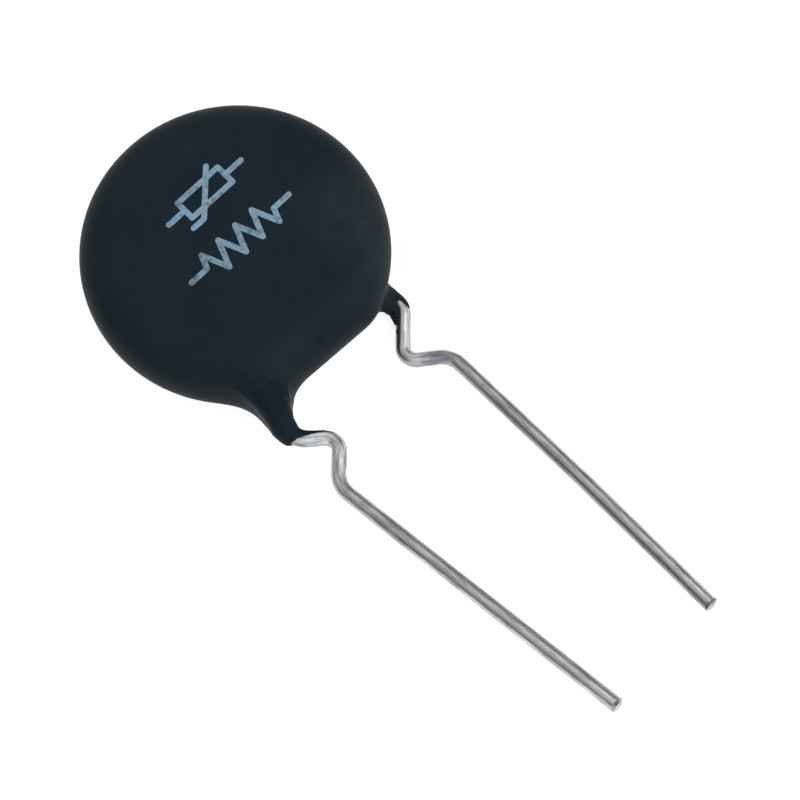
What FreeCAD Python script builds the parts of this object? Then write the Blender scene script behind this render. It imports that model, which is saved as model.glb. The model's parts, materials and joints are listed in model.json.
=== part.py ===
# Dipped disc thermistor, lying on its back face, in millimetres.
# Origin: centre of the back face. +Z: towards the printed front face. -Y: the way the leads point.
import FreeCAD, Part
import Sketcher
import math
import os

Vector = FreeCAD.Vector
Rotation = FreeCAD.Rotation
Placement = FreeCAD.Placement

LEFT = -1
RIGHT = 1
SIDE_WORD = {LEFT: "left", RIGHT: "right"}
UP = 1
DOWN = -1

# Driving dimensions

SIZES = {
    # the pressed ceramic disc and the silver fired on both its faces
    "ceramic_diameter": 14.5,
    "ceramic_thickness": 2.0,
    "ceramic_chamfer": 0.15,
    "electrode_margin": 0.5,
    "electrode_thickness": 0.05,
    # the lead wire and the solder that holds it to the silver
    "wire_diameter": 0.8,
    "solder_film": 0.05,
    "solder_side": 0.5,
    "solder_height": 0.6,
    "solder_length": 3.6,
    "solder_past_wire": 0.5,
    "solder_bevel": 0.25,
    # how far each wire lies from the centre line, and where it ends inside
    "left_seat": 4.9,
    "right_seat": 3.9,
    "wire_overlap": 1.0,
    # from the ceramic's rim the wire splays out a little, up to the bend that ends its coated leg
    "splay_inset": 1.75,
    "left_splay": 0.82,
    "right_splay": 0.24,
    "left_leg": 2.57,
    "right_leg": 1.03,
    # the formed kink, a step inwards and then a step outwards
    "left_crimp_step": 1.71,
    "left_crimp_drop": 1.6,
    "right_crimp_step": 2.32,
    "right_crimp_drop": 2.1,
    "shoulder_step": 1.965,
    "shoulder_drop": 1.68,
    # the long pins, which close in a little towards their sheared tips
    "lead_reach": 31.05,
    "pin_lean": 1.055,
    "right_bow": 0.09,
    "end_slant": 20.0,
    # bend radii along the middle of the wire
    "splay_radius": 6.0,
    "leg_radius": 1.1,
    "crimp_radius": 0.7,
    "shoulder_radius": 1.4,
    "bow_radius": 60.0,
    # the dipped coat round the disc
    "coat_over_wire": 0.3,
    "coat_rim": 1.05,
    "rim_land": 0.4,
    "flat_cover": 0.51,
    "flat_corner": 2.5,
    "flat_turn": 5.5,
    # the coat that runs down each wire: its thickness at the root, which sits towards the other wire,
    # at the neck and from there to the dip, which ends it
    "leg_inset": 3.0,
    "left_root_coat": 0.55,
    "right_root_coat": 0.22,
    "left_root_shift": 0.2,
    "right_root_shift": 0.08,
    "neck_rise": 2.0,
    "left_neck_coat": 0.5,
    "right_neck_coat": 0.22,
    "leg_coat": 0.23,
    "leg_feather": 0.03,
    "leg_run": 0.3,
    "leg_face_margin": 0.04,
    "left_dip": 0.05,
    "right_dip": 0.17,
    "left_dip_slant": 0.0,
    "right_dip_slant": 40.0,
    "left_root_fillet": 0.9,
    "right_root_fillet": 0.4,
    # the printed mark, a circuit symbol over a zigzag line
    "ink_thickness": 0.02,
    "ink_stroke": 0.31,
    "mark_turn": 3.0,
    "symbol_shift": 0.75,
    "symbol_above": 2.85,
    "symbol_length": 5.2,
    "symbol_box": 2.9,
    "symbol_height": 1.15,
    "slash_height": 2.1,
    "slash_foot": 0.75,
    "zigzag_shift": 0.3,
    "zigzag_below": 0.35,
    "zigzag_height": 1.5,
    "zigzag_pitch": 1.2,
    "zigzag_end": 1.1,
}
ZIGZAG_TEETH = 4

doc = FreeCAD.newDocument("Thermistor")


def make_sheet():
    """Keep every driving dimension in one sheet, one aliased cell each."""
    made = doc.addObject("Spreadsheet::Sheet", "Sizes")
    for row, (name, value) in enumerate(SIZES.items(), start=1):
        made.set(f"A{row}", name)
        made.set(f"B{row}", str(value))
        made.setAlias(f"B{row}", name)
    doc.recompute()
    return made


sheet = make_sheet()


def size(name):
    return float(sheet.get(name))


def bind(item, formulas):
    """Bind properties of an object to formulas over the sheet's names."""
    for path, formula in formulas.items():
        words = formula.split()
        item.setExpression(path, " ".join(f"Sizes.{word}" if word in SIZES else word for word in words))


# Levels and radii that several pieces share, as formulas over the sheet

WIRE_COVER = "( electrode_thickness + solder_film + wire_diameter + coat_over_wire )"
COAT_THICKNESS = f"( ceramic_thickness + 2 * {WIRE_COVER} )"
COAT_DIAMETER = "( ceramic_diameter + 2 * coat_rim )"
FLAT_DISTANCE = "( ceramic_diameter / 2 + flat_cover )"
EDGE_ROUNDING = f"( {COAT_THICKNESS} - rim_land ) / 2"
FRONT_SILVER = f"( {WIRE_COVER} + ceramic_thickness )"
BACK_SILVER = f"( {WIRE_COVER} - electrode_thickness )"
OFFCUT_REACH = f"2 * {COAT_THICKNESS}"

# The same levels as numbers, for the shapes that are made point by point

wire_radius = size("wire_diameter") / 2
wire_cover = sum(size(name) for name in ("electrode_thickness", "solder_film", "wire_diameter", "coat_over_wire"))
coat_thickness = size("ceramic_thickness") + 2 * wire_cover
ceramic_radius = size("ceramic_diameter") / 2
coat_radius = ceramic_radius + size("coat_rim")
flat_distance = ceramic_radius + size("flat_cover")
offcut_reach = 2 * coat_thickness
WIRE_LEVEL = {
    LEFT: coat_thickness - size("coat_over_wire") - wire_radius,
    RIGHT: size("coat_over_wire") + wire_radius,
}


# Helpers for bodies and sketches

def origin_plane(body, role):
    return next(feature for feature in body.Origin.OriginFeatures if feature.Role == role)


def new_body(label):
    body = doc.addObject("PartDesign::Body", label)
    body.Label = label
    return body


def new_sketch(body, name):
    sketch = body.newObject("Sketcher::SketchObject", name)
    sketch.AttachmentSupport = (origin_plane(body, "XY_Plane"), "")
    sketch.MapMode = "FlatFace"
    return sketch


def relate(sketch, *terms):
    sketch.addConstraint(Sketcher.Constraint(*terms))


def dimension(sketch, name, formula, *terms):
    """Add a named dimension to a sketch and bind it to the sheet."""
    relate(sketch, *terms)
    sketch.renameConstraint(sketch.ConstraintCount - 1, name)
    bind(sketch, {f"Constraints.{name}": formula})


def pad(body, sketch, formula):
    feature = body.newObject("PartDesign::Pad", f"{body.Label}_pad")
    feature.Profile = sketch
    bind(feature, {"Length": formula})
    doc.recompute()
    return feature


def level_faces(feature, looks):
    """Names of the flat level faces that look the given ways, up or down."""
    names = []
    for index, face in enumerate(feature.Shape.Faces, start=1):
        flat = face.Surface.TypeId == "Part::GeomPlane"
        if flat and round(face.normalAt(0, 0).z, 3) in looks:
            names.append(f"Face{index}")
    return names


# Ceramic and silver

def make_ceramic():
    body = new_body("ceramic_disc")
    sketch = new_sketch(body, "ceramic_outline")
    sketch.addGeometry(Part.Circle(Vector(0, 0, 0), Vector(0, 0, 1), ceramic_radius))
    relate(sketch, "Coincident", 0, 3, -1, 1)
    dimension(sketch, "across", "ceramic_diameter", "Diameter", 0, 2 * ceramic_radius)
    disc = pad(body, sketch, "ceramic_thickness")
    rims = body.newObject("PartDesign::Chamfer", "ceramic_rims")
    rims.Base = (disc, level_faces(disc, (UP, DOWN)))
    bind(rims, {"Size": "ceramic_chamfer"})
    bind(body, {"Placement.Base.z": WIRE_COVER})
    return body


def make_electrode(label, level):
    silver = doc.addObject("Part::Cylinder", label)
    silver.Label = label
    bind(silver, {
        "Radius": "ceramic_diameter / 2 - electrode_margin",
        "Height": "electrode_thickness",
        "Placement.Base.z": level,
    })
    return silver


# Formed wires

def wire_corners(side):
    """Corner points of one formed wire, from its soldered end to the tip of its pin."""
    word = SIDE_WORD[side]
    seat = size(f"{word}_seat")
    leave = seat + size(f"{word}_splay")
    crimp = leave - size(f"{word}_crimp_step")
    shoulder = crimp + size("shoulder_step")
    leg_end = ceramic_radius + size(f"{word}_leg")
    crimp_level = leg_end + size(f"{word}_crimp_drop")
    corners = [
        (seat, -size("wire_overlap")),
        (seat, ceramic_radius - size("splay_inset")),
        (leave, leg_end),
        (crimp, crimp_level),
        (shoulder, crimp_level + size("shoulder_drop")),
        (shoulder - size("pin_lean"), size("lead_reach")),
    ]
    return [Vector(side * across, -down, WIRE_LEVEL[side]) for across, down in corners]


def bowed(corners):
    """Give the last run a faint outward bow, as one more corner at its middle."""
    middle = (corners[-2] + corners[-1]) / 2
    return corners[:-1] + [middle + Vector(size("right_bow"), 0, 0), corners[-1]]


def rounded_path(corners, radii):
    """Straight runs between the corners, joined by arcs that are tangent to them."""
    edges = []
    start = corners[0]
    for before, corner, after, radius in zip(corners, corners[1:], corners[2:], radii):
        back = (before - corner).normalize()
        ahead = (after - corner).normalize()
        half_turn = (math.pi - back.getAngle(ahead)) / 2
        reach = radius * math.tan(half_turn)
        inward = (back + ahead).normalize()
        middle = corner + inward * (radius / math.cos(half_turn) - radius)
        edges.append(Part.LineSegment(start, corner + back * reach).toShape())
        start = corner + ahead * reach
        edges.append(Part.Arc(corner + back * reach, middle, start).toShape())
    edges.append(Part.LineSegment(start, corners[-1]).toShape())
    return Part.Wire(edges)


def add_path(name, wire):
    path = doc.addObject("Part::Feature", name)
    path.Shape = wire
    return path


def add_circle(name, point, direction, formula):
    circle = doc.addObject("Part::Circle", name)
    circle.Placement = Placement(point, Rotation(Vector(0, 0, 1), direction))
    bind(circle, {"Radius": formula})
    return circle


def add_sweep(name, path, sections):
    sweep = doc.addObject("Part::Sweep", name)
    sweep.Sections = sections
    sweep.Spine = (path, [f"Edge{index + 1}" for index in range(len(path.Shape.Edges))])
    sweep.Solid = True
    sweep.Frenet = True
    return sweep


def add_offcut(name, point, slant, turn):
    """A block to cut with: its near face passes through the point and leans to bare what lies below."""
    block = doc.addObject("Part::Box", name)
    bind(block, {side: f"2 * {OFFCUT_REACH}" for side in ("Length", "Width", "Height")})
    tilt = Rotation(Vector(0, 0, 1), turn).multiply(Rotation(Vector(1, 0, 0), -slant))
    near_face = Vector(-offcut_reach, -2 * offcut_reach, -offcut_reach)
    block.Placement = Placement(point + tilt.multVec(near_face), tilt)
    return block


def cut(label, base, tool):
    feature = doc.addObject("Part::Cut", label)
    feature.Label = label
    feature.Base = base
    feature.Tool = tool
    return feature


def join(name, pieces):
    feature = doc.addObject("Part::MultiFuse", name)
    feature.Shapes = pieces
    return feature


def make_lead(side):
    """One round wire, swept along its kinked path, with a slanting shear cut at the tip."""
    label = f"{SIDE_WORD[side]}_lead"
    corners = wire_corners(side)
    radii = [size(name) for name in ("splay_radius", "leg_radius", "crimp_radius", "shoulder_radius")]
    if side == RIGHT:
        corners = bowed(corners)
        radii.append(size("bow_radius"))
    path = add_path(f"{label}_path", rounded_path(corners, radii))
    circle = add_circle(f"{label}_section", corners[0], corners[1] - corners[0], "wire_diameter / 2")
    wire = add_sweep(f"{label}_wire", path, [circle])
    along = (corners[-1] - corners[-2]).normalize()
    heading = math.degrees(math.atan2(along.x, -along.y))
    shear = corners[-1] - along * (wire_radius * math.tan(math.radians(size("end_slant"))))
    beyond = add_offcut(f"{label}_offcut", shear, size("end_slant"), heading)
    return cut(label, wire, beyond)


def make_solder(label, side, lead):
    """A long low mound of solder on the silver, shaped round the wire that lies in it."""
    word = SIDE_WORD[side]
    body = new_body(f"{label}_mound")
    sketch = new_sketch(body, f"{label}_outline")
    radius = wire_radius + size("solder_side")
    length = size("solder_length")
    ends = (Vector(0, 0, 0), Vector(0, -length, 0))
    sketch.addGeometry(Part.ArcOfCircle(Part.Circle(ends[0], Vector(0, 0, 1), radius), 0, math.pi))
    sketch.addGeometry(Part.ArcOfCircle(Part.Circle(ends[1], Vector(0, 0, 1), radius), math.pi, 2 * math.pi))
    sketch.addGeometry(Part.LineSegment(Vector(-radius, 0, 0), Vector(-radius, -length, 0)))
    sketch.addGeometry(Part.LineSegment(Vector(radius, -length, 0), Vector(radius, 0, 0)))
    relate(sketch, "Tangent", 0, 2, 2, 1)
    relate(sketch, "Tangent", 2, 2, 1, 1)
    relate(sketch, "Tangent", 1, 2, 3, 1)
    relate(sketch, "Tangent", 3, 2, 0, 1)
    relate(sketch, "Coincident", 0, 3, -1, 1)
    relate(sketch, "Vertical", 2)
    dimension(sketch, "side", "wire_diameter / 2 + solder_side", "Radius", 0, radius)
    dimension(sketch, "run", "solder_length", "DistanceY", 1, 3, 0, 3, length)
    mound = pad(body, sketch, "solder_height")
    crown = body.newObject("PartDesign::Chamfer", f"{label}_crown")
    crown.Base = (mound, level_faces(mound, (UP,)))
    bind(crown, {"Size": "solder_bevel"})
    over = size("wire_overlap") + size("solder_past_wire") - radius
    level = WIRE_LEVEL[side] + side * (wire_radius + size("solder_film"))
    flip = Rotation(Vector(0, 1, 0), 0 if side == LEFT else 180)
    body.Placement = Placement(Vector(side * size(f"{word}_seat"), over, level), flip)
    return cut(label, body, lead)


# The dipped coat

def make_coat_disc():
    """A thick round disc with a short flat between the leads and fully rounded edges."""
    body = new_body("coat_disc")
    sketch = new_sketch(body, "coat_outline")
    corner = size("flat_corner")
    middle = Vector(math.sqrt((coat_radius - corner) ** 2 - (flat_distance - corner) ** 2), corner - flat_distance, 0)
    reach = math.atan2(middle.y, middle.x)
    up = Vector(0, 0, 1)
    mirrored = Vector(-middle.x, middle.y, 0)
    down = 1.5 * math.pi
    sketch.addGeometry(Part.ArcOfCircle(Part.Circle(Vector(0, 0, 0), up, coat_radius), reach, math.pi - reach))
    sketch.addGeometry(Part.ArcOfCircle(Part.Circle(mirrored, up, corner), math.pi - reach, down))
    sketch.addGeometry(Part.LineSegment(Vector(-middle.x, -flat_distance, 0), Vector(middle.x, -flat_distance, 0)))
    sketch.addGeometry(Part.ArcOfCircle(Part.Circle(middle, up, corner), down, 2 * math.pi + reach))
    relate(sketch, "Tangent", 0, 2, 1, 1)
    relate(sketch, "Tangent", 1, 2, 2, 1)
    relate(sketch, "Tangent", 2, 2, 3, 1)
    relate(sketch, "Tangent", 3, 2, 0, 1)
    relate(sketch, "Coincident", 0, 3, -1, 1)
    relate(sketch, "Horizontal", 2)
    relate(sketch, "Equal", 1, 3)
    dimension(sketch, "radius", f"{COAT_DIAMETER} / 2", "Radius", 0, coat_radius)
    dimension(sketch, "corner", "flat_corner", "Radius", 1, corner)
    dimension(sketch, "flat", FLAT_DISTANCE, "DistanceY", 2, 1, -1, 1, flat_distance)
    disc = pad(body, sketch, COAT_THICKNESS)
    rims = body.newObject("PartDesign::Fillet", "coat_rims")
    rims.Base = (disc, level_faces(disc, (UP, DOWN)))
    bind(rims, {"Radius": EDGE_ROUNDING})
    body.Placement = Placement(Vector(0, 0, 0), Rotation(Vector(0, 0, 1), -size("flat_turn")))
    return body


def leg_ring(side, stage, point, direction, coat, shift=0):
    """One section of a leg's tube. A thick one leaves the wire's level, so that it stays within the faces."""
    reach = wire_radius + size(coat) + size("leg_face_margin")
    level = min(max(WIRE_LEVEL[side], reach), coat_thickness - reach)
    centre = Vector(point.x - side * shift, point.y, level)
    return add_circle(f"{SIDE_WORD[side]}_leg_{stage}", centre, direction, f"wire_diameter / 2 + {coat}")


def make_leg(side):
    """The coat that runs down a wire, from a thick root to a feather edge at the level of the dip."""
    word = SIDE_WORD[side]
    _, seat_end, bend, crimp = wire_corners(side)[:4]
    inward = (seat_end - bend).normalize()
    outward = (crimp - bend).normalize()
    half_turn = (math.pi - inward.getAngle(outward)) / 2
    reach = size("leg_radius") * math.tan(half_turn)
    root_level = size("leg_inset") - ceramic_radius
    root = bend + inward * ((root_level - bend.y) / inward.y)
    shift = size(f"{word}_root_shift")
    waist = bend + inward * reach
    neck = waist + inward * size("neck_rise")
    tip = bend + outward * (reach + size("leg_run"))
    path = add_path(f"{word}_leg_path", rounded_path([root, bend, tip], [size("leg_radius")]))
    rings = [
        leg_ring(side, "root", root, -inward, f"{word}_root_coat", shift),
        leg_ring(side, "neck", neck, -inward, f"{word}_neck_coat", shift / 2),
        leg_ring(side, "waist", waist, -inward, "leg_coat"),
        leg_ring(side, "tip", tip, outward, "leg_feather"),
    ]
    tube = add_sweep(f"{word}_leg_tube", path, rings)
    dip = Vector(bend.x, bend.y - size(f"{word}_dip"), bend.z)
    below = add_offcut(f"{word}_leg_offcut", dip, size(f"{word}_dip_slant"), 0)
    return cut(f"{word}_leg", tube, below)


def root_edges(shape, side):
    """Numbers of the edges where a leg's tube runs into the rounded rim of the disc."""
    numbers = []
    for index, edge in enumerate(shape.Edges, start=1):
        kinds = {face.Surface.TypeId for face in shape.ancestorsOfType(edge, Part.Face)}
        if kinds == {"Part::GeomBSplineSurface", "Part::GeomToroid"} and edge.CenterOfMass.x * side > 0:
            numbers.append(index)
    return numbers


def make_coating(inner_pieces):
    """One moulded skin: disc and legs run together, hollowed by everything that it was dipped over."""
    dipped = join("coat_form", [make_coat_disc(), make_leg(LEFT), make_leg(RIGHT)])
    dipped.Refine = True
    doc.recompute()
    roots = doc.addObject("Part::Fillet", "coat_roots")
    roots.Base = dipped
    roots.Edges = [
        (index, size(f"{SIDE_WORD[side]}_root_fillet"), size(f"{SIDE_WORD[side]}_root_fillet"))
        for side in (LEFT, RIGHT) for index in root_edges(dipped.Shape, side)
    ]
    return cut("coating", roots, join("dipped_pieces", inner_pieces))


# The printed mark

def stroke(start, end):
    """One straight pen stroke with round ends."""
    half = size("ink_stroke") / 2
    along = (end - start).normalize() * half
    side = Vector(-along.y, along.x, 0)
    outline = Part.Wire([
        Part.LineSegment(start + side, end + side).toShape(),
        Part.Arc(end + side, end + along, end - side).toShape(),
        Part.LineSegment(end - side, start - side).toShape(),
        Part.Arc(start - side, start - along, start + side).toShape(),
    ])
    return Part.Face(outline).extrude(Vector(0, 0, size("ink_thickness")))


def pen_line(points):
    """Strokes from point to point, run together into one solid."""
    strokes = [stroke(start, end) for start, end in zip(points, points[1:])]
    return strokes[0].fuse(strokes[1:]) if len(strokes) > 1 else strokes[0]


def resistor_symbol():
    """A box on a line, crossed by a slanting stroke with a short foot."""
    reach = size("symbol_length") / 2
    box = size("symbol_box") / 2
    tall = size("symbol_height") / 2
    slash = size("slash_height") / 2
    middle = Vector(size("symbol_shift"), size("symbol_above"), 0)
    rows = [
        [(-reach, 0), (-box, 0)],
        [(box, 0), (reach, 0)],
        [(-box, -tall), (box, -tall), (box, tall), (-box, tall), (-box, -tall)],
        [(-slash - size("slash_foot"), -slash), (-slash, -slash), (slash, slash)],
    ]
    lines = [pen_line([middle + Vector(x, y, 0) for x, y in row]) for row in rows]
    return lines[0].fuse(lines[1:]).removeSplitter()


def zigzag_symbol():
    """A line that runs level, zigzags between two heights, and runs level again."""
    pitch = size("zigzag_pitch")
    height = size("zigzag_height") / 2
    start = -ZIGZAG_TEETH * pitch / 2
    middle = Vector(size("zigzag_shift"), -size("zigzag_below"), 0)
    points = [(start - size("zigzag_end"), 0), (start, 0)]
    for tooth in range(ZIGZAG_TEETH):
        points.append((start + (tooth + 0.25) * pitch, height))
        points.append((start + (tooth + 0.75) * pitch, -height))
    points += [(-start, 0), (size("zigzag_end") - start, 0)]
    return pen_line([middle + Vector(x, y, 0) for x, y in points]).removeSplitter()


def make_marking():
    mark = doc.addObject("Part::Feature", "marking")
    mark.Shape = Part.makeCompound([resistor_symbol(), zigzag_symbol()])
    mark.Placement = Placement(Vector(0, 0, coat_thickness), Rotation(Vector(0, 0, 1), -size("mark_turn")))
    return mark


# Build, check and write

def check_document():
    for item in doc.Objects:
        if {"Invalid", "Error"} & set(item.State):
            raise RuntimeError(f"{item.Label} did not recompute: {item.State}")


def check_pieces(pieces):
    for piece in pieces:
        if piece.Shape.isNull() or not piece.Shape.isValid():
            raise RuntimeError(f"{piece.Label} has no valid shape")


def build():
    ceramic = make_ceramic()
    front_silver = make_electrode("front_electrode", FRONT_SILVER)
    back_silver = make_electrode("back_electrode", BACK_SILVER)
    leads = [make_lead(LEFT), make_lead(RIGHT)]
    solders = [make_solder("front_solder", LEFT, leads[0]), make_solder("back_solder", RIGHT, leads[1])]
    inner_pieces = [ceramic, front_silver, back_silver] + solders + leads
    pieces = inner_pieces + [make_coating(inner_pieces), make_marking()]
    doc.recompute()
    check_document()
    check_pieces(pieces)
    return pieces


def write(pieces):
    os.makedirs("parts", exist_ok=True)
    for piece in pieces:
        piece.Shape.exportStep(f"parts/{piece.Label}.step")


write(build())
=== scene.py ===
"""Looks of the dipped disc thermistor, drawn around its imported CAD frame.

Lengths in this script are in millimetres. MM turns them into the metres of the scene.
"""
import json
import math

import bpy
import numpy as np
from mathutils import Matrix, Vector


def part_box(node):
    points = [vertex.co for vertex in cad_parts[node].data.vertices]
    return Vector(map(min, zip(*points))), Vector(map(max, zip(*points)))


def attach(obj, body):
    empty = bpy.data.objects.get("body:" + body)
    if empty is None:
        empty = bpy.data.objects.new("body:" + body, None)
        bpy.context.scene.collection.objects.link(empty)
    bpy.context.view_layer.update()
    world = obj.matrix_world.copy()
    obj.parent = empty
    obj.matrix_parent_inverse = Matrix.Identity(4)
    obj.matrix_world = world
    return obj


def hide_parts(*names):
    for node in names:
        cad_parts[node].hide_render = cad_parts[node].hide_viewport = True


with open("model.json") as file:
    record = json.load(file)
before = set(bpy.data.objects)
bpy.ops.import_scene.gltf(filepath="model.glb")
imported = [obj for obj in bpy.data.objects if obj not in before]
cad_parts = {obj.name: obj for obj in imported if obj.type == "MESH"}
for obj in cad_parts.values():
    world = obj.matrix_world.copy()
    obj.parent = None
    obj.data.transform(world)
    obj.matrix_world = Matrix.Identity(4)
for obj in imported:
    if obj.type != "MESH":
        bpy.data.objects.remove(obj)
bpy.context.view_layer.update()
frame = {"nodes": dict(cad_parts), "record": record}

MM = 0.001
LEFT, RIGHT = -1, 1

# The disc's coat, whose middle is at the origin and whose back lies at height 0. The flat's distance counts
# from the middle. A squareness of 2 makes the rim round, and more makes it squarer.
coat_low, coat_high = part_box("coating")
COAT_RADIUS = round(-coat_low[0] / MM, 3)
COAT_THICKNESS = round(coat_high[2] / MM, 3)
FLAT_DISTANCE = 7.76
FLAT_TURN = math.radians(-5.5)
EDGE_ROUNDING = 2.2
EDGE_SQUARENESS = 2.1
FLAT_CORNER_ROUNDING = 0.2
FACE_CORNER_ROUNDING = 0.05

# The wires: their radius and the height of their middle lines, the corner points and bend radii along
# those lines, and the slant of the cut ends
mounts = {mount["name"]: mount for mount in frame["record"]["mounts"]}
pins = {LEFT: mounts["left_pin"], RIGHT: mounts["right_pin"]}
WIRE_RADIUS = pins[LEFT]["dims"]["r_mm"]
WIRE_LEVEL = {side: round(pin["pos_m"][2] / MM, 3) for side, pin in pins.items()}
WIRE_CORNERS = {
    LEFT: [(-4.9, 1.0), (-4.9, -5.5), (-5.72, -9.82), (-4.01, -11.42), (-5.975, -13.1), (-4.92, -31.05)],
    RIGHT: [
        (3.9, 1.0), (3.9, -5.5), (4.14, -8.28), (1.82, -10.38), (3.785, -12.06), (3.3475, -21.555),
        (2.73, -31.05),
    ],
}
BEND_RADII = [6.0, 1.1, 0.7, 1.4, 60.0]
END_SLANT = math.tan(math.radians(20.0))


# Meshes

def new_object(name, vertices, faces, normals=None):
    """A smooth-shaded object from millimetres, with normals of its own if they are given."""
    mesh = bpy.data.meshes.new(name)
    mesh.from_pydata((np.asarray(vertices) * MM).tolist(), [], faces)
    mesh.validate()
    mesh.polygons.foreach_set("use_smooth", [True] * len(mesh.polygons))
    mesh.update()
    if normals is not None:
        mesh.normals_split_custom_set_from_vertices(normals.tolist())
    made = bpy.data.objects.new(name, mesh)
    bpy.context.scene.collection.objects.link(made)
    return made


def rounded_line(corners, radii, step):
    """Points along straight runs that are joined by arcs."""
    corners = [np.array(corner, float) for corner in corners]
    points = [corners[0]]
    for before, corner, after, radius in zip(corners, corners[1:], corners[2:], radii):
        back = (before - corner) / np.linalg.norm(before - corner)
        ahead = (after - corner) / np.linalg.norm(after - corner)
        half = (math.pi - math.acos(back @ ahead)) / 2
        inward = (back + ahead) / np.linalg.norm(back + ahead)
        centre = corner + inward * radius / math.cos(half)
        start = corner + back * radius * math.tan(half)
        finish = corner + ahead * radius * math.tan(half)
        points += run(points[-1], start, step)
        first = math.atan2(*(start - centre)[::-1])
        swing = math.atan2(*(finish - centre)[::-1]) - first
        swing = (swing + math.pi) % (2 * math.pi) - math.pi
        count = max(3, math.ceil(abs(swing) * radius / step))
        for part in range(1, count + 1):
            turn = first + swing * part / count
            points.append(centre + radius * np.array([math.cos(turn), math.sin(turn)]))
    points += run(points[-1], corners[-1], step)
    return np.array(points)


def run(start, finish, step):
    count = max(1, math.ceil(np.linalg.norm(finish - start) / step))
    return [start + (finish - start) * part / count for part in range(1, count + 1)]


def lengths_along(points):
    return np.concatenate([[0.0], np.cumsum(np.linalg.norm(np.diff(points, axis=0), axis=1))])


# Smooth random fields

def waves(seed, count, shortest, longest):
    """Directions, wave numbers and phases of a sum of sine waves."""
    rng = np.random.default_rng(seed)
    turn = rng.uniform(0, 2 * math.pi, count)
    length = np.exp(rng.uniform(math.log(shortest), math.log(longest), count))
    return np.cos(turn) / length, np.sin(turn) / length, rng.uniform(0, 2 * math.pi, count)


def wave_sum(field, x, y):
    total = 0
    for across, along, phase in zip(*field):
        total = total + np.sin(2 * math.pi * (across * x + along * y) + phase)
    return total / math.sqrt(len(field[2]))


# The dipped coat, as a field of distances

def smooth_least(a, b, reach):
    """The smaller of two distances, with a fillet where they differ by less than the reach."""
    near = np.clip(1 - np.abs(a - b) / reach, 0, 1)
    return np.minimum(a, b) - near * near * reach / 4


def smooth_most(a, b, reach):
    return -smooth_least(-a, -b, reach)


def disc_distance(x, y, z):
    """Distance from the coated disc without its legs."""
    across = x * math.cos(FLAT_TURN) + y * math.sin(FLAT_TURN)
    up = -x * math.sin(FLAT_TURN) + y * math.cos(FLAT_TURN)
    outline = smooth_most(np.hypot(across, up) - COAT_RADIUS, -up - FLAT_DISTANCE, FLAT_CORNER_ROUNDING)
    half = COAT_THICKNESS / 2
    side = outline + EDGE_ROUNDING
    face = np.abs(z - half) - half + EDGE_ROUNDING
    powers = np.maximum(side, 0) ** EDGE_SQUARENESS + np.maximum(face, 0) ** EDGE_SQUARENESS
    rounded = powers ** (1 / EDGE_SQUARENESS)
    return rounded + np.minimum(np.maximum(side, face), 0) - EDGE_ROUNDING


# The coat's legs. "sides" and "ends": how far past the start of its bend a leg's coat reaches, by the
# side of the wire, from the bend's outer side, -1, to its inner side, 1. "at" and "radius": how thick the
# coated wire is along the leg. "root": the height within the disc that the leg's root grows from. "lean":
# how far the coat sits towards the inner side. "blend": how softly the leg runs into the disc, on the
# outer side and on the inner side.
LEG = {
    LEFT: {
        "sides": [-1.3, -0.9, -0.2, 0.30, 0.50, 0.75, 1.0, 1.3],
        "ends": [0.44, 0.53, 0.70, 1.05, 1.40, 1.95, 2.2, 2.2],
        "at": [-4.0, -1.5, -0.9, -0.4, 0.0, 0.5, 1.1, 1.5, 2.3],
        "radius": [0.84, 0.82, 0.75, 0.69, 0.64, 0.55, 0.49, 0.445, 0.415],
        "root": [2.0, 2.2, 2.8, 3.3, 3.6, 3.7, 3.7, 3.7, 3.7],
        "lean": [0.20, 0.24, 0.14, 0.0, -0.02, 0.0, 0.0, 0.0, 0.0],
        "blend": (1.3, 1.9),
    },
    RIGHT: {
        "sides": [-1.3, -0.8, -0.5, -0.15, 0.55, 0.82, 1.0, 1.15, 1.4, 1.8, 2.3],
        "ends": [0.86, 0.74, 0.42, 0.24, 0.32, 1.05, 1.45, 1.72, 1.60, 1.35, 1.1],
        "at": [-4.0, -1.5, -0.9, -0.4, 0.0, 0.5, 1.1, 1.5, 2.3],
        "radius": [0.66, 0.62, 0.62, 0.62, 0.61, 0.63, 0.54, 0.46, 0.43],
        "root": [1.2, 1.0, 0.8, 0.75, 0.7, 0.7, 0.7, 0.7, 0.7],
        "lean": [0.15, 0.16, 0.16, 0.17, 0.19, 0.20, 0.14, 0.02, 0.0],
        "blend": (0.35, 1.1),
    },
}

# Where the legs begin within the disc, from the start of the bend, and how their ends are shaped
LEG_BEGIN = -4.5
LEG_END_ROUNDING = 0.10
LEG_END_STEEPNESS = 0.8

# The lowest place of the wires' lines that the coat can reach, and the step that they are followed in
COATED_LINE_END = -13.5
COATED_LINE_STEP = 0.05

# How far beside the wire the blend of the outer side gives way to that of the inner side, and how the blend
# narrows towards the flat front face
BLEND_CHANGE = 0.5
BLEND_PER_DEPTH = 2.5
LEAST_BLEND = 0.05

# A chip of coat left on the right wire, below the end of its leg: place along the wire from the start of
# the bend, place beside the middle line, height, radius and how many times longer it is than wide
CHIP = (2.0, 0.27, 0.98, 0.10, 1.7)


def wire_line(side, step):
    return rounded_line(WIRE_CORNERS[side], BEND_RADII, step)


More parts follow.
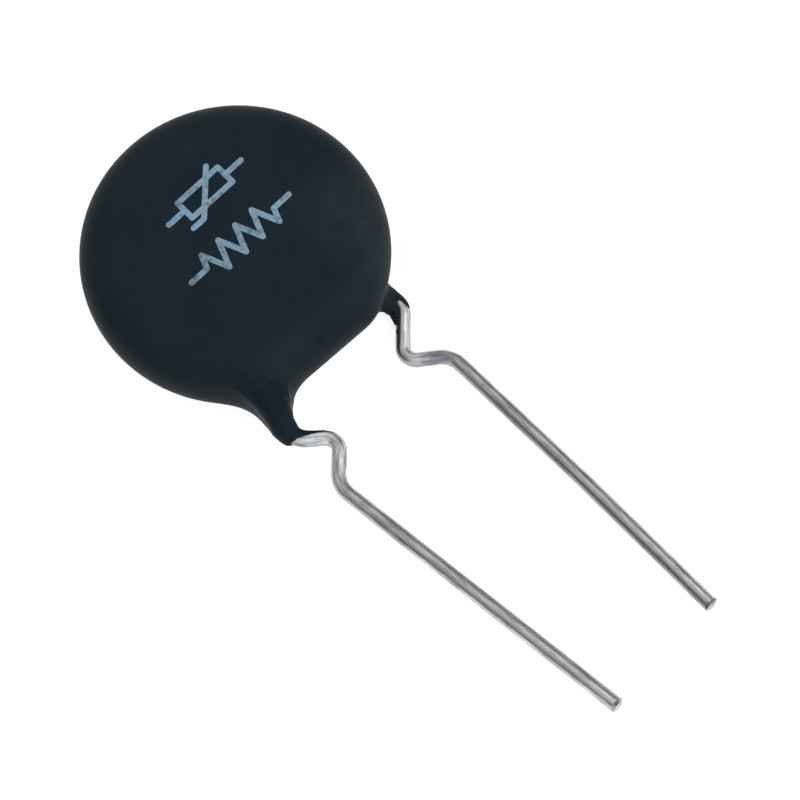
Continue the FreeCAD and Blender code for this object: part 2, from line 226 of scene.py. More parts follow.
def bend_start(side):
    """Distance along the wire's middle at which the bend that ends its coated leg begins."""
    corners = [np.array(corner) for corner in WIRE_CORNERS[side][:4]]
    back = corners[1] - corners[2]
    ahead = corners[3] - corners[2]
    turn = math.acos(back @ ahead / np.linalg.norm(back) / np.linalg.norm(ahead))
    reach = BEND_RADII[1] * math.tan((math.pi - turn) / 2)
    short = np.array(WIRE_CORNERS[side][:2] + [tuple(corners[2] + back / np.linalg.norm(back) * reach)])
    return lengths_along(rounded_line(short, BEND_RADII[:1], COATED_LINE_STEP))[-1]


def around_wire(side, x, y):
    """For points in the plane: how far along the wire's middle line they lie, and how far beside it,
    towards the inner side of the bend that ends the leg. Beyond the wire's inner end the second is never
    below 0."""
    line = wire_line(side, COATED_LINE_STEP)
    line = line[line[:, 1] > COATED_LINE_END]
    length = lengths_along(line)
    step = np.diff(line, axis=0)
    size = np.linalg.norm(step, axis=1)
    step = step / size[:, None]
    flat = np.stack([x.ravel(), y.ravel()], axis=1)
    best = np.full(len(flat), np.inf)
    along = np.zeros(len(flat))
    beside = np.zeros(len(flat))
    inner = 1 if side == LEFT else -1
    for start, heading, extent, begun in zip(line, step, size, length):
        offset = flat - start
        passed = np.clip(offset @ heading, 0, extent)
        gap = np.hypot(*(offset - passed[:, None] * heading).T)
        closer = gap < best
        cross = inner * np.sign(heading[0] * offset[:, 1] - heading[1] * offset[:, 0])
        best = np.where(closer, gap, best)
        along = np.where(closer, begun + passed, along)
        beside = np.where(closer, np.where(begun + passed > 0, cross, 1) * gap, beside)
    return along.reshape(x.shape), beside.reshape(x.shape)


def leg_distance(side, z, along, gap):
    """Distance from a coated leg: a tube round the wire and the leg's root, cut off at its ragged end."""
    leg = LEG[side]
    past = along - bend_start(side)
    radius = np.interp(past, leg["at"], leg["radius"])
    root = np.interp(past, leg["at"], leg["root"])
    level = WIRE_LEVEL[side]
    above = np.maximum(z - np.minimum(np.maximum(root, level), COAT_THICKNESS - radius), 0)
    below = np.maximum(np.minimum(root, level) - z, 0)
    lean = np.interp(past, leg["at"], leg["lean"])
    short = np.maximum(LEG_BEGIN - past, 0)
    tube = np.sqrt((gap - lean) ** 2 + (above + below) ** 2 + short ** 2) - radius
    end = past - np.interp(gap / WIRE_RADIUS, leg["sides"], leg["ends"])
    coated = smooth_most(tube, end * LEG_END_STEEPNESS, LEG_END_ROUNDING)
    if side == LEFT:
        return coated
    place, beside, height, size, stretch = CHIP
    chip = np.sqrt(((past - place) / stretch) ** 2 + (gap - beside) ** 2 + (z - height) ** 2) - size
    return np.minimum(coated, chip)


def coat_distance(x, y, z, around):
    """Distance from the whole coat, from where the points lie along and beside each wire."""
    total = disc_distance(x, y, z)
    for side in (LEFT, RIGHT):
        leg = leg_distance(side, z, *around[side])
        outer, inner = LEG[side]["blend"]
        blend = np.interp(around[side][1], [-BLEND_CHANGE, BLEND_CHANGE], [outer, inner])
        depth = np.maximum(COAT_THICKNESS - z, 0)
        total = smooth_least(total, leg, np.minimum(blend, BLEND_PER_DEPTH * depth + LEAST_BLEND))
    total = smooth_most(total, z - COAT_THICKNESS, FACE_CORNER_ROUNDING)
    return smooth_most(total, -z, FACE_CORNER_ROUNDING)


# The grid that the coat's surface is found on: how far it reaches beyond the rim and the faces, then where
# its stretches end and how wide their cells are, finer around the legs
RIM_MARGIN = 0.3
FACE_MARGIN = 0.2
GRID_SIDE = COAT_RADIUS + RIM_MARGIN
GRID_X = ([-GRID_SIDE, -7.0, -3.4, 2.4, 5.4, GRID_SIDE], [0.13, 0.06, 0.13, 0.06, 0.13])
GRID_Y = ([-11.4, -6.4, GRID_SIDE], [0.06, 0.14])
GRID_Z = ([-FACE_MARGIN, COAT_THICKNESS + FACE_MARGIN], [0.08])

# How often the mesh is moved onto the surface, how far apart the slope is measured for that and for the
# shading normals, and the least slope that a move reckons with
MOVES = 3
MOVE_SLOPE_REACH = 0.01
NORMAL_SLOPE_REACH = 0.02
LEAST_SLOPE = 0.2


def graded(ends, widths):
    """Grid positions whose spacing differs from stretch to stretch."""
    stretches = [
        np.linspace(low, high, max(2, round((high - low) / width) + 1))
        for low, high, width in zip(ends, ends[1:], widths)
    ]
    return np.unique(np.concatenate(stretches).round(6))


def surface_nets(xs, ys, zs, values):
    """One vertex for each grid cell that the surface passes through, and one quad round each grid edge
    that it crosses."""
    inside = values < 0
    cell_shape = np.array(values.shape) - 1
    total = np.zeros(tuple(cell_shape) + (3,))
    count = np.zeros(tuple(cell_shape))
    axes = (xs, ys, zs)
    crossings = []
    for axis in range(3):
        low = [slice(None)] * 3
        high = [slice(None)] * 3
        low[axis], high[axis] = slice(0, -1), slice(1, None)
        a, b = values[tuple(low)], values[tuple(high)]
        crosses = (a < 0) != (b < 0)
        at = np.argwhere(crosses)
        part = a[crosses] / (a[crosses] - b[crosses])
        place = np.stack([axes[k][at[:, k]] for k in range(3)], axis=1)
        place[:, axis] += part * (axes[axis][at[:, axis] + 1] - axes[axis][at[:, axis]])
        crossings.append((axis, at, inside[tuple(low)][crosses]))
        others = [k for k in range(3) if k != axis]
        for i in (0, 1):
            for j in (0, 1):
                cell = at.copy()
                cell[:, others[0]] -= i
                cell[:, others[1]] -= j
                fits = ((cell >= 0) & (cell < cell_shape)).all(axis=1)
                where = tuple(cell[fits].T)
                np.add.at(total, where, place[fits])
                np.add.at(count, where, 1)
    used = count > 0
    number = np.full(tuple(cell_shape), -1)
    number[used] = np.arange(used.sum())
    vertices = total[used] / count[used][:, None]
    faces = []
    for axis, at, starts_inside in crossings:
        u, v = [k for k in range(3) if k != axis]
        fits = (at[:, u] > 0) & (at[:, v] > 0) & (at[:, u] < cell_shape[u]) & (at[:, v] < cell_shape[v])
        at, starts_inside = at[fits], starts_inside[fits]
        corners = []
        for i, j in ((0, 0), (1, 0), (1, 1), (0, 1)):
            cell = at.copy()
            cell[:, u] -= i
            cell[:, v] -= j
            corners.append(number[tuple(cell.T)])
        quads = np.stack(corners, axis=1)
        flip = starts_inside if axis != 1 else ~starts_inside
        quads[~flip] = quads[~flip][:, ::-1]
        faces.append(quads)
    return vertices, np.concatenate(faces)


def plane_lookup(xs, ys, table, x, y):
    """Values of a table over the plane, between its grid points."""
    i = np.clip(np.searchsorted(xs, x) - 1, 0, len(xs) - 2)
    j = np.clip(np.searchsorted(ys, y) - 1, 0, len(ys) - 2)
    u = (x - xs[i]) / (xs[i + 1] - xs[i])
    v = (y - ys[j]) / (ys[j + 1] - ys[j])
    return ((1 - u) * (1 - v) * table[i, j] + u * (1 - v) * table[i + 1, j]
            + (1 - u) * v * table[i, j + 1] + u * v * table[i + 1, j + 1])


def make_coat():
    xs = graded(*GRID_X)
    ys = graded(*GRID_Y)
    zs = graded(*GRID_Z)
    plane = np.meshgrid(xs, ys, indexing="ij")
    tables = {side: around_wire(side, *plane) for side in (LEFT, RIGHT)}
    x, y, z = np.meshgrid(xs, ys, zs, indexing="ij")
    around = {side: [table[:, :, None] for table in tables[side]] for side in tables}
    values = coat_distance(x, y, z, around)
    vertices, faces = surface_nets(xs, ys, zs, values)

    def distance_at(points):
        x, y, z = points.T
        around = {side: [plane_lookup(xs, ys, table, x, y) for table in tables[side]] for side in tables}
        return coat_distance(x, y, z, around)

    def slope_at(points, reach):
        return np.stack([
            (distance_at(points + shift) - distance_at(points - shift)) / (2 * reach)
            for shift in np.eye(3) * reach
        ], axis=1)

    for _ in range(MOVES):
        slope = slope_at(vertices, MOVE_SLOPE_REACH)
        steepness = np.maximum((slope ** 2).sum(axis=1), LEAST_SLOPE)
        vertices = vertices - (distance_at(vertices) / steepness)[:, None] * slope
    normals = slope_at(vertices, NORMAL_SLOPE_REACH)
    normals /= np.linalg.norm(normals, axis=1)[:, None]
    return new_object("coat_skin", vertices, faces.tolist(), normals)


# The formed wires

WIRE_SIDES = 40
WIRE_RING_STEP = 0.12

# The slight unevenness of the wires: its share of the radius, its seed, the number, shortest and longest
# length of its waves, and how far to each side of the wire's middle line the waves are read
SWAY = 0.008
SWAY_SEED = 31
SWAY_WAVES = (7, 2.5, 9.0)
SWAY_WIDTH = 2

# The cut end: how far the wall's last ring is drawn back, then the rings that close it, each with its share
# of the wire's radius and how far it lies ahead of that last ring
CUT_EDGE = 0.02
CUT_RINGS = [(0.985, 0.012), (0.95, 0.02), (0.6, 0.02), (0.25, 0.02)]

# Dull marks that the forming tool left, and painted shade: the long marks without depth are dark bands of
# painted shade along the straight runs, and the broad mark on the right wire's level stretch is partly
# painted shade. Each has its distance along the wire, length, turn round it from the top towards its right
# as it runs, width of the turn, depth and strength. The turns are in radians.
TOOL_MARKS_AND_PAINTED_SHADE = {
    LEFT: [
        (11.1, 0.5, 1.1, 0.5, 0.010, 0.8),
        (14.1, 0.9, -1.0, 0.5, 0.012, 0.7),
        (19.6, 0.6, 0.7, 0.4, 0.006, 0.5),
        # These two long marks without depth are painted shade, dark bands along the straight run
        (26.0, 14.0, -0.95, 0.5, 0.0, 0.6),
        (26.0, 14.0, 0.45, 0.35, 0.0, 0.38),
    ],
    RIGHT: [
        (13.42, 0.5, 0.1, 0.45, 0.030, 1.6),
        # This broad mark is partly painted shade, darkening the level stretch
        (13.6, 1.3, 0.35, 1.5, 0.012, 1.15),
        (14.0, 0.35, 1.5, 0.6, 0.045, 0.6),
        (12.4, 0.6, -0.9, 0.5, 0.010, 0.5),
        (17.3, 1.4, 0.8, 0.4, 0.008, 0.6),
        (24.0, 0.8, -0.4, 0.4, 0.006, 0.5),
        # These two long marks without depth are painted shade, dark bands along the straight runs
        (28.0, 28.0, 0.95, 0.75, 0.0, 0.78),
        (27.0, 14.0, -1.15, 0.4, 0.0, 0.5),
    ],
}

# How fast a mark fades: at its length or width from its middle it is down to exp(-MARK_FALL)
MARK_FALL = 2


def tool_marks_and_painted_shade(side, length, turns):
    """How strongly the wire is marked, and how far its surface is pressed in."""
    strength = np.zeros(WIRE_SIDES)
    depth = np.zeros(WIRE_SIDES)
    for place, reach, turn, width, press, strong in TOOL_MARKS_AND_PAINTED_SHADE[side]:
        around = (turns - math.pi / 2 - turn + math.pi) % (2 * math.pi) - math.pi
        near = np.exp(-MARK_FALL * (((length - place) / reach) ** 2 + (around / width) ** 2))
        strength = np.maximum(strength, strong * near)
        depth += press * near
    return strength, depth


def make_wire(side, name):
    """A wire as rings along its middle line. Its points carry two attributes: their place as if the wire
    were straight, and how strongly it is marked there, by the tool's dull marks and by painted shade."""
    line = wire_line(side, WIRE_RING_STEP)
    along = lengths_along(line)
    heading = np.gradient(line, along, axis=0)
    heading /= np.linalg.norm(heading, axis=1)[:, None]
    beside = np.stack([-heading[:, 1], heading[:, 0]], axis=1)
    turns = np.linspace(0, 2 * math.pi, WIRE_SIDES, endpoint=False)
    sway = waves(SWAY_SEED + side, *SWAY_WAVES)
    rings = []
    straight = []
    marks = []
    for point, forth, out, length in zip(line, heading, beside, along):
        swell = 1 + SWAY * wave_sum(sway, length, np.sin(turns) * SWAY_WIDTH)
        mark, pressed = tool_marks_and_painted_shade(side, length, turns)
        radius = WIRE_RADIUS * np.minimum(swell, 1.0) - pressed
        marks.append(mark)
        across, up = radius * np.cos(turns), radius * np.sin(turns)
        ring = [point[0] + out[0] * across, point[1] + out[1] * across, WIRE_LEVEL[side] + up]
        rings.append(np.stack(ring, axis=1))
        straight.append(np.stack([np.full(WIRE_SIDES, length), across, up], axis=1))
    vertices = np.concatenate(rings)
    straight = np.concatenate(straight)
    last = len(rings) - 1
    tip = slice(last * WIRE_SIDES, None)
    forth = np.array([heading[-1][0], heading[-1][1], 0])
    drawn_back = -(WIRE_RADIUS + straight[tip, 2]) * END_SLANT
    vertices[tip] += drawn_back[:, None] * forth
    faces = []
    for ring in range(last):
        for k in range(WIRE_SIDES):
            a, b = ring * WIRE_SIDES + k, ring * WIRE_SIDES + (k + 1) % WIRE_SIDES
            faces.append((a, b, b + WIRE_SIDES, a + WIRE_SIDES))
    vertices, straight, faces = cap_tip(vertices, straight, faces, last, forth)
    faces.append(tuple(range(WIRE_SIDES))[::-1])
    wire = new_object(name, vertices, [tuple(int(v) for v in face) for face in faces])
    field = wire.data.attributes.new("straight", "FLOAT_VECTOR", "POINT")
    field.data.foreach_set("vector", (straight * MM).astype(np.float32).ravel())
    marked = np.concatenate(marks + [np.zeros(len(vertices) - len(rings) * WIRE_SIDES)])
    field = wire.data.attributes.new("tool_mark_and_painted_shade", "FLOAT", "POINT")
    field.data.foreach_set("value", marked.astype(np.float32))
    return wire


def cap_tip(vertices, straight, faces, last, forth):
    """The sheared end: a rounded edge and a flat face, as rings that close in on the middle."""
    edge = last * WIRE_SIDES
    middle = vertices[edge:edge + WIRE_SIDES].mean(axis=0)
    for shrink, ahead in CUT_RINGS:
        ring = middle + (vertices[edge:edge + WIRE_SIDES] - middle) * shrink + (ahead - CUT_EDGE) * forth
        vertices = np.concatenate([vertices, ring])
        straight = np.concatenate([straight, straight[edge:edge + WIRE_SIDES] * [1, shrink, shrink]])
        start = len(vertices) - WIRE_SIDES
        below = edge if start == (last + 1) * WIRE_SIDES else start - WIRE_SIDES
        for k in range(WIRE_SIDES):
            after = (k + 1) % WIRE_SIDES
            faces.append((below + k, below + after, start + after, start + k))
    faces.append(tuple(range(len(vertices) - WIRE_SIDES, len(vertices))))
    vertices[edge:edge + WIRE_SIDES] -= CUT_EDGE * forth
    return vertices, straight, faces


# Materials

# Where a colour mix and a number mix have their amount, their two values and their result
MIX_AMOUNT = 0
COLOUR_MIX_VALUES = (6, 7)
COLOUR_MIX_RESULT = 2
NUMBER_MIX_VALUES = (2, 3)
NUMBER_MIX_RESULT = 0


class Nodes:
    """A material's node tree, with short calls for the nodes that are used here."""

    def __init__(self, name):
        self.material = bpy.data.materials.new(name)
        self.material.use_nodes = True
        self.tree = self.material.node_tree
        self.shader = self.tree.nodes["Principled BSDF"]

    def add(self, kind, **settings):
        node = self.tree.nodes.new(kind)
        for key, value in settings.items():
            setattr(node, key, value)
        return node

    def link(self, source, target):
        self.tree.links.new(source, target)

    def place(self, attribute=None, scale=(1, 1, 1)):
        """Where a point lies: in the object, or by a vector attribute."""
        if attribute:
            source = self.add("ShaderNodeAttribute", attribute_name=attribute).outputs["Vector"]
        else:
            source = self.add("ShaderNodeTexCoord").outputs["Object"]
        mapping = self.add("ShaderNodeMapping")
        mapping.inputs["Scale"].default_value = scale
        self.link(source, mapping.inputs["Vector"])
        return mapping.outputs["Vector"]

    def noise(self, place, size_mm, detail, roughness=0.55, shift=0.0):
        """Noise from 0 to 1, whose largest spots are of about the given size. A shift gives other spots."""
        node = self.add("ShaderNodeTexNoise", noise_dimensions="4D")
        node.inputs["W"].default_value = shift
        node.inputs["Scale"].default_value = 1 / (size_mm * MM)
        node.inputs["Detail"].default_value = detail
        node.inputs["Roughness"].default_value = roughness
        self.link(place, node.inputs["Vector"])
        return node.outputs["Fac"]

    def near(self, place, point_mm, reach_mm):
        """1 within a quarter of a reach round a point and 0 beyond the reach, with a soft fall between."""
        node = self.add("ShaderNodeVectorMath", operation="DISTANCE")
        self.link(place, node.inputs[0])
        node.inputs[1].default_value = Vector(point_mm) * MM
        whole = reach_mm * MM
        return self.spread(node.outputs["Value"], 0.25 * whole, whole, 1.0, 0.0, "SMOOTHSTEP")

    def spread(self, value, low, high, to_low, to_high, curve="LINEAR"):
        """Turns low to high into to_low to to_high, and holds what lies beyond at the ends."""
        node = self.add("ShaderNodeMapRange", interpolation_type=curve)
        node.clamp = True
        for key, number in (("From Min", low), ("From Max", high), ("To Min", to_low), ("To Max", to_high)):
            node.inputs[key].default_value = number
        self.link(value, node.inputs["Value"])
        return node.outputs["Result"]

    def colours(self, value, *stops):
        """Colours along a value. Each stop is a place and its colour."""
        node = self.add("ShaderNodeValToRGB")
        ramp = node.color_ramp
        while len(ramp.elements) < len(stops):
            ramp.elements.new(0.5)
        for element, (at, colour) in zip(ramp.elements, stops):
            element.position = at
            element.color = (*colour, 1)
        self.link(value, node.inputs["Fac"])
        return node.outputs["Color"]

    def maths(self, operation, a, b):
        node = self.add("ShaderNodeMath", operation=operation)
        for socket, value in zip(node.inputs, (a, b)):
            if isinstance(value, (int, float)):
                socket.default_value = value
            else:
                self.link(value, socket)
        return node.outputs["Value"]

    def mix(self, amount, a, b):
        node = self.add("ShaderNodeMix", data_type="RGBA")
        self.link(amount, node.inputs[MIX_AMOUNT])
        for index, value in zip(COLOUR_MIX_VALUES, (a, b)):
            if isinstance(value, tuple):
                node.inputs[index].default_value = (*value, 1)
            else:
                self.link(value, node.inputs[index])
        return node.outputs[COLOUR_MIX_RESULT]

    def bump(self, height, depth_mm, strength, under=None):
        """Normals of a relief of about the given depth, on top of those under it."""
        node = self.add("ShaderNodeBump")
        node.inputs["Strength"].default_value = strength
        node.inputs["Distance"].default_value = depth_mm * MM
        self.link(height, node.inputs["Height"])
        if under is not None:
            self.link(under, node.inputs["Normal"])
        return node.outputs["Normal"]

    def shade(self, **inputs):
        """Sets or links the shader's inputs, named with low lines for spaces, and gives the material."""
        for key, value in inputs.items():
            socket = self.shader.inputs[key.replace("_", " ")]
            if isinstance(value, (int, float)):
                socket.default_value = value
            elif isinstance(value, tuple):
                socket.default_value = (*value, 1)
            else:
                self.link(value, socket)
        return self.material


# Colours, as their shares of red, green and blue light
COAT_DARK = (0.0038, 0.0108, 0.0160)
COAT_LIGHT = (0.0074, 0.0152, 0.0214)
COAT_PAINTED_HIGHLIGHT = (0.0140, 0.0215, 0.0275)
COAT_PAINTED_SHADE = (0.0018, 0.0062, 0.0110)
COAT_SPECK = (0.035, 0.04, 0.045)
TIN_DARK = (0.27, 0.28, 0.295)
TIN_MIDDLE = (0.56, 0.57, 0.58)
TIN_BRIGHT = (0.76, 0.765, 0.77)
TIN_DULL_AND_SHADED = (0.16, 0.165, 0.18)
INK_DARK = (0.125, 0.215, 0.300)
INK_LIGHT = (0.215, 0.345, 0.460)
INK_WORN = (0.030, 0.060, 0.085)
CERAMIC_DARK = (0.030, 0.026, 0.024)
CERAMIC_LIGHT = (0.075, 0.066, 0.060)
SILVER_TARNISHED = (0.48, 0.46, 0.42)
SILVER_CLEAN = (0.72, 0.71, 0.69)
SOLDER_DARK = (0.42, 0.43, 0.44)
SOLDER_LIGHT = (0.66, 0.67, 0.68)

# Places on the coat and how far they reach: a painted highlight by the right edge, and painted shade by the
# flat and at the left leg's root
PAINTED_HIGHLIGHTS = [((5.7, -4.0, 4.4), 4.2), ((5.0, -6.3, 4.0), 2.2)]
PAINTED_SHADES = [((-0.4, -7.4, 4.0), 1.8), ((-4.9, -7.9, 4.0), 1.8)]

# How much the lines and blotches of the tinned wire are drawn out along it: less is longer
DRAWN_LINES = (0.06, 1, 1)
DRAWN_BLOTCHES = (0.35, 1, 1)


def coat_material():
    nodes = Nodes("coat_lacquer")
    place = nodes.place()
    cloud = nodes.noise(place, 3.2, detail=4, roughness=0.55)
    fine = nodes.noise(place, 0.35, detail=3, roughness=0.6, shift=4.0)
    grain = nodes.noise(place, 0.09, detail=2, roughness=0.6, shift=7.0)
    tone = nodes.maths("ADD", cloud, nodes.spread(fine, 0.3, 0.7, -0.16, 0.16))
    base = nodes.colours(tone, (0.30, COAT_DARK), (0.72, COAT_LIGHT))
    # A painted highlight: lighter patches by the right edge, broken up by streaks
    painted_highlight = nodes.maths("MAXIMUM", *[nodes.near(place, *spot) for spot in PAINTED_HIGHLIGHTS])
    streaks = nodes.noise(place, 0.9, detail=4, roughness=0.6, shift=12.0)
    uneven = nodes.spread(streaks, 0.35, 0.62, 0.35, 1.0)
    base = nodes.mix(nodes.maths("MULTIPLY", painted_highlight, uneven), base, COAT_PAINTED_HIGHLIGHT)
    # Painted shade: darker patches by the flat and at the left leg's root, broken up by noise
    painted_shade = nodes.maths("MAXIMUM", *[nodes.near(place, *spot) for spot in PAINTED_SHADES])
    broken = nodes.spread(fine, 0.35, 0.65, 0.0, 0.7)
    base = nodes.mix(nodes.maths("MULTIPLY", painted_shade, broken), base, COAT_PAINTED_SHADE)
    dots = nodes.noise(place, 0.16, detail=2, roughness=0.5, shift=2.0)
    base = nodes.mix(nodes.spread(dots, 0.70, 0.78, 0.0, 0.35), base, COAT_SPECK)
    broad = nodes.spread(cloud, 0.3, 0.7, 0.55, 0.65)
    rough = nodes.maths("ADD", broad, nodes.spread(fine, 0.3, 0.7, -0.05, 0.05))
    normal = nodes.bump(cloud, 0.03, strength=0.6)
    normal = nodes.bump(fine, 0.012, strength=0.6, under=normal)
    normal = nodes.bump(grain, 0.003, strength=0.6, under=normal)
    return nodes.shade(
        Base_Color=base, Roughness=rough, IOR=1.2,
        Sheen_Weight=0.15, Sheen_Roughness=0.25, Normal=normal,
    )


def wire_material():
    nodes = Nodes("tinned_wire")
    lines = nodes.noise(nodes.place("straight", DRAWN_LINES), 0.055, detail=2, roughness=0.6)
    blotch = nodes.noise(nodes.place("straight", DRAWN_BLOTCHES), 0.6, detail=4, roughness=0.6, shift=3.0)
    pits = nodes.noise(nodes.place("straight"), 0.07, detail=2, roughness=0.5, shift=5.0)
    tone = nodes.maths("ADD", nodes.spread(lines, 0.3, 0.7, -0.14, 0.14), blotch)
    base = nodes.colours(tone, (0.30, TIN_DARK), (0.5, TIN_MIDDLE), (0.70, TIN_BRIGHT))
    # The mark darkens the tin where the tool dulled it and where shade is painted along the wire
    marked = nodes.add("ShaderNodeAttribute", attribute_name="tool_mark_and_painted_shade").outputs["Fac"]
    uneven = nodes.maths("MULTIPLY", marked, nodes.spread(lines, 0.35, 0.65, 0.7, 1.3))
    dull_and_shaded = nodes.spread(uneven, 0.15, 0.75, 0.0, 0.85)
    base = nodes.mix(dull_and_shaded, base, TIN_DULL_AND_SHADED)
    broad = nodes.spread(blotch, 0.3, 0.7, 0.34, 0.22)
    rough = nodes.maths("ADD", broad, nodes.spread(lines, 0.3, 0.7, -0.04, 0.04))
    normal = nodes.bump(blotch, 0.03, strength=0.6)
    normal = nodes.bump(lines, 0.005, strength=0.7, under=normal)
    normal = nodes.bump(pits, 0.003, strength=0.6, under=normal)
    return nodes.shade(Base_Color=base, Metallic=1.0, Roughness=rough, Normal=normal)


def ink_material():
    nodes = Nodes("faded_ink")
    place = nodes.place()
    worn = nodes.noise(place, 0.32, detail=5, roughness=0.7)
    broad = nodes.noise(place, 1.6, detail=2, roughness=0.5, shift=6.0)
    total = nodes.maths("ADD", worn, nodes.spread(broad, 0.3, 0.7, -0.10, 0.10))
    wear = nodes.spread(total, 0.47, 0.66, 0.0, 0.80)
    grain = nodes.noise(place, 0.12, detail=3, roughness=0.6, shift=9.0)
    fade = nodes.colours(grain, (0.3, INK_DARK), (0.7, INK_LIGHT))
    base = nodes.mix(wear, fade, INK_WORN)
    rough = nodes.spread(worn, 0.3, 0.7, 0.62, 0.48)
    normal = nodes.bump(worn, 0.006, strength=0.6)
    return nodes.shade(Base_Color=base, Roughness=rough, IOR=1.45, Normal=normal)


def ceramic_material():
    nodes = Nodes("sintered_ceramic")
    place = nodes.place()
    grain = nodes.noise(place, 0.12, detail=4, roughness=0.65)
    base = nodes.colours(grain, (0.3, CERAMIC_DARK), (0.7, CERAMIC_LIGHT))
    rough = nodes.spread(grain, 0.3, 0.7, 0.7, 0.9)
    normal = nodes.bump(grain, 0.01, strength=0.7)
    return nodes.shade(Base_Color=base, Roughness=rough, Normal=normal)


def silver_material():
    nodes = Nodes("fired_silver")
    place = nodes.place()
    grain = nodes.noise(place, 0.08, detail=3, roughness=0.6)
    tarnish = nodes.noise(place, 2.2, detail=3, roughness=0.55, shift=3.0)
    base = nodes.colours(tarnish, (0.3, SILVER_TARNISHED), (0.7, SILVER_CLEAN))
    rough = nodes.spread(grain, 0.3, 0.7, 0.45, 0.62)
    normal = nodes.bump(grain, 0.004, strength=0.7)
    return nodes.shade(Base_Color=base, Metallic=1.0, Roughness=rough, Normal=normal)


def solder_material():
    nodes = Nodes("solder_mound")
    place = nodes.place()
    cells = nodes.noise(place, 0.3, detail=4, roughness=0.6)
    base = nodes.colours(cells, (0.3, SOLDER_DARK), (0.7, SOLDER_LIGHT))
    rough = nodes.spread(cells, 0.3, 0.7, 0.22, 0.42)
    normal = nodes.bump(cells, 0.01, strength=0.6)
    return nodes.shade(Base_Color=base, Metallic=1.0, Roughness=rough, Normal=normal)


def dress(node_name, material):
    """Gives all of a node of the frame one material."""
    mesh = frame["nodes"][node_name].data
    for index in range(len(mesh.materials)):
        mesh.materials[index] = material
    if not mesh.materials:
        mesh.materials.append(material)


# Pieces

coat = make_coat()
coat.data.materials.append(coat_material())
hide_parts("coating")
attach(coat, "root")

wire_metal = wire_material()
for side, node_name in ((LEFT, "left_lead"), (RIGHT, "right_lead")):
    wire = make_wire(side, node_name + "_drawn")
    wire.data.materials.append(wire_metal)
    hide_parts(node_name)
    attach(wire, "root")

dress("marking", ink_material())
dress("ceramic_disc", ceramic_material())
silver = silver_material()
dress("front_electrode", silver)
dress("back_electrode", silver)
solder = solder_material()
dress("front_solder", solder)
dress("back_solder", solder)


# Stage, light and camera

# How far the floor reaches from its middle, and its brightness and glow. The pairs hold what camera and
# transmission rays see and what glossy rays see, and the last number is what the other rays see.
FLOOR_REACH = 400.0
FLOOR_SEEN = (0.35, 0.95)
FLOOR_GLOW = (0.84, 0.08)
FLOOR_UNSEEN = 0.8


def stage_material():
    """A floor that is white to camera, transmission and glossy rays, apart from the object's shadow, which
    is faint to the first two and full to glossy rays."""
    nodes = Nodes("pale_floor")
    path = nodes.add("ShaderNodeLightPath")
    matt = nodes.add("ShaderNodeBsdfDiffuse")
    nodes.link(nodes.spread(path.outputs["Is Glossy Ray"], 0, 1, *FLOOR_SEEN), matt.inputs["Color"])
    glow = nodes.add("ShaderNodeEmission")
    glow.inputs["Color"].default_value = (1, 1, 1, 1)
    nodes.link(nodes.spread(path.outputs["Is Glossy Ray"], 0, 1, *FLOOR_GLOW), glow.inputs["Strength"])
    both = nodes.add("ShaderNodeAddShader")
    nodes.link(matt.outputs[0], both.inputs[0])
    nodes.link(glow.outputs[0], both.inputs[1])
    plain = nodes.add("ShaderNodeBsdfDiffuse")
    plain.inputs["Color"].default_value = (FLOOR_UNSEEN, FLOOR_UNSEEN, FLOOR_UNSEEN, 1)
    seen = nodes.maths("MAXIMUM", path.outputs["Is Camera Ray"], path.outputs["Is Glossy Ray"])
    seen = nodes.maths("MAXIMUM", seen, path.outputs["Is Transmission Ray"])
    mixed = nodes.add("ShaderNodeMixShader")
    nodes.link(seen, mixed.inputs[0])
    nodes.link(plain.outputs[0], mixed.inputs[1])
    nodes.link(both.outputs[0], mixed.inputs[2])
    nodes.tree.nodes.remove(nodes.shader)
    nodes.link(mixed.outputs[0], nodes.tree.nodes["Material Output"].inputs["Surface"])
    return nodes.material


def make_floor():
    corners = [(x * FLOOR_REACH, y * FLOOR_REACH, 0) for x, y in ((-1, -1), (1, -1), (1, 1), (-1, 1))]
    floor = new_object("floor", corners, [(0, 1, 2, 3)])
    floor.data.materials.append(stage_material())


# The world's light: a plain base and soft lights, each with its direction, half width in degrees, softness
# in degrees and strength
WORLD_BASE = 0.20
WORLD_LOBES = [
    ((0.27, -0.56, 0.78), 28, 16, 2.05),
    ((0.31, 0.69, 0.66), 28, 16, 0.73),
    ((-0.33, -0.41, 0.85), 28, 16, 0.60),
    ((0.79, -0.61, 0.07), 28, 16, 0.57),
    ((-0.79, -0.61, 0.03), 28, 16, 0.95),
    ((0.11, 0.92, 0.37), 28, 16, 0.31),
    ((0.21, -0.15, 0.97), 8, 8, 0.46),
    ((-0.55, 0.55, 0.62), 18, 10, 0.45),
]


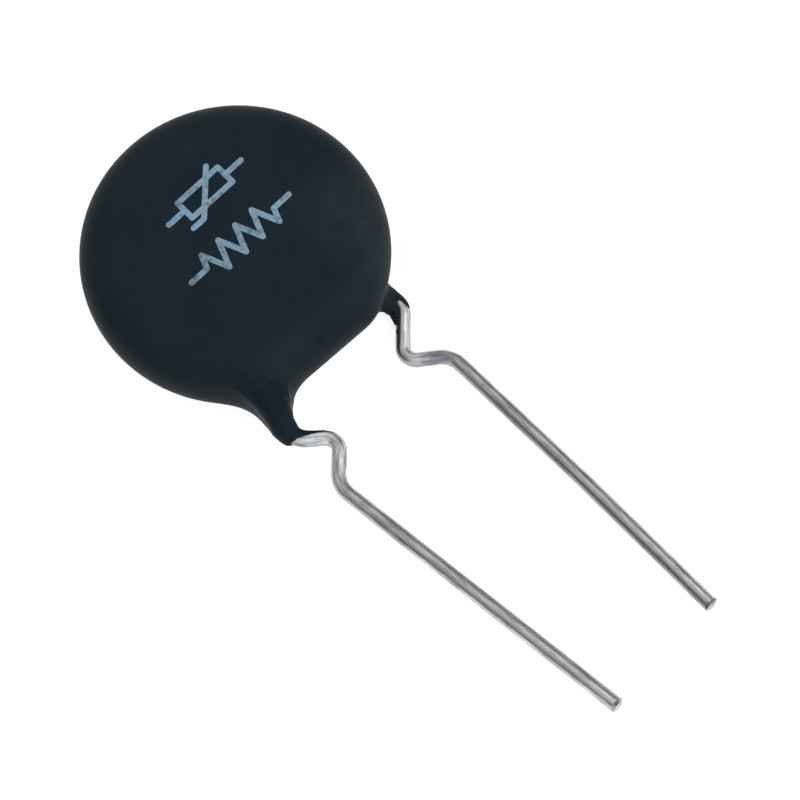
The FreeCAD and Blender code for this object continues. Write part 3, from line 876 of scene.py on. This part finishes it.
def make_world():
    """The only light. Camera and transmission rays see plain white in its place."""
    world = bpy.data.worlds.new("studio")
    bpy.context.scene.world = world
    world.use_nodes = True
    tree = world.node_tree
    background = tree.nodes["Background"]
    background.inputs["Color"].default_value = (1, 1, 1, 1)
    direction = tree.nodes.new("ShaderNodeTexCoord").outputs["Generated"]
    total = None
    for toward, half, soft, strength in WORLD_LOBES:
        dot = tree.nodes.new("ShaderNodeVectorMath")
        dot.operation = "DOT_PRODUCT"
        dot.inputs[1].default_value = Vector(toward).normalized()
        tree.links.new(direction, dot.inputs[0])
        lobe = tree.nodes.new("ShaderNodeMapRange")
        lobe.interpolation_type = "SMOOTHSTEP"
        lobe.inputs["From Min"].default_value = math.cos(math.radians(half + soft))
        lobe.inputs["From Max"].default_value = math.cos(math.radians(max(half - soft, 0)))
        lobe.inputs["To Min"].default_value = 0
        lobe.inputs["To Max"].default_value = strength
        tree.links.new(dot.outputs["Value"], lobe.inputs["Value"])
        add = tree.nodes.new("ShaderNodeMath")
        add.operation = "ADD"
        add.inputs[0].default_value = WORLD_BASE
        if total is not None:
            tree.links.new(total, add.inputs[0])
        tree.links.new(lobe.outputs["Result"], add.inputs[1])
        total = add.outputs["Value"]
    path = tree.nodes.new("ShaderNodeLightPath")
    seen = tree.nodes.new("ShaderNodeMath")
    seen.operation = "MAXIMUM"
    tree.links.new(path.outputs["Is Camera Ray"], seen.inputs[0])
    tree.links.new(path.outputs["Is Transmission Ray"], seen.inputs[1])
    white = tree.nodes.new("ShaderNodeMix")
    white.data_type = "FLOAT"
    light, plain = NUMBER_MIX_VALUES
    tree.links.new(seen.outputs["Value"], white.inputs[MIX_AMOUNT])
    tree.links.new(total, white.inputs[light])
    white.inputs[plain].default_value = 1.0
    tree.links.new(white.outputs[NUMBER_MIX_RESULT], background.inputs["Strength"])


# The camera: its place, its axes, its focal length in pixels of the square picture, and the nearest and
# farthest that it sees
CAMERA_PLACE = (-24.403, -37.054, 115.778)
CAMERA_RIGHT = (0.67473, -0.73783, -0.01866)
CAMERA_UP = (0.70927, 0.64126, 0.29259)
CAMERA_BACK = (-0.20388, -0.21071, 0.95605)
FOCAL_PIXELS = 2281.6
PICTURE_PIXELS = 800
SENSOR_WIDTH = 36
CLIP_NEAR = 1
CLIP_FAR = 5000


def make_camera():
    data = bpy.data.cameras.new("view")
    data.sensor_fit = "HORIZONTAL"
    data.sensor_width = SENSOR_WIDTH
    data.lens = FOCAL_PIXELS / PICTURE_PIXELS * SENSOR_WIDTH
    data.clip_start = CLIP_NEAR * MM
    data.clip_end = CLIP_FAR * MM
    camera = bpy.data.objects.new("view", data)
    axes = Matrix((CAMERA_RIGHT, CAMERA_UP, CAMERA_BACK)).transposed().to_4x4()
    camera.matrix_world = Matrix.Translation(Vector(CAMERA_PLACE) * MM) @ axes
    bpy.context.scene.collection.objects.link(camera)
    bpy.context.scene.camera = camera


make_floor()
make_world()
make_camera()
bpy.context.scene.view_settings.view_transform = "Standard"
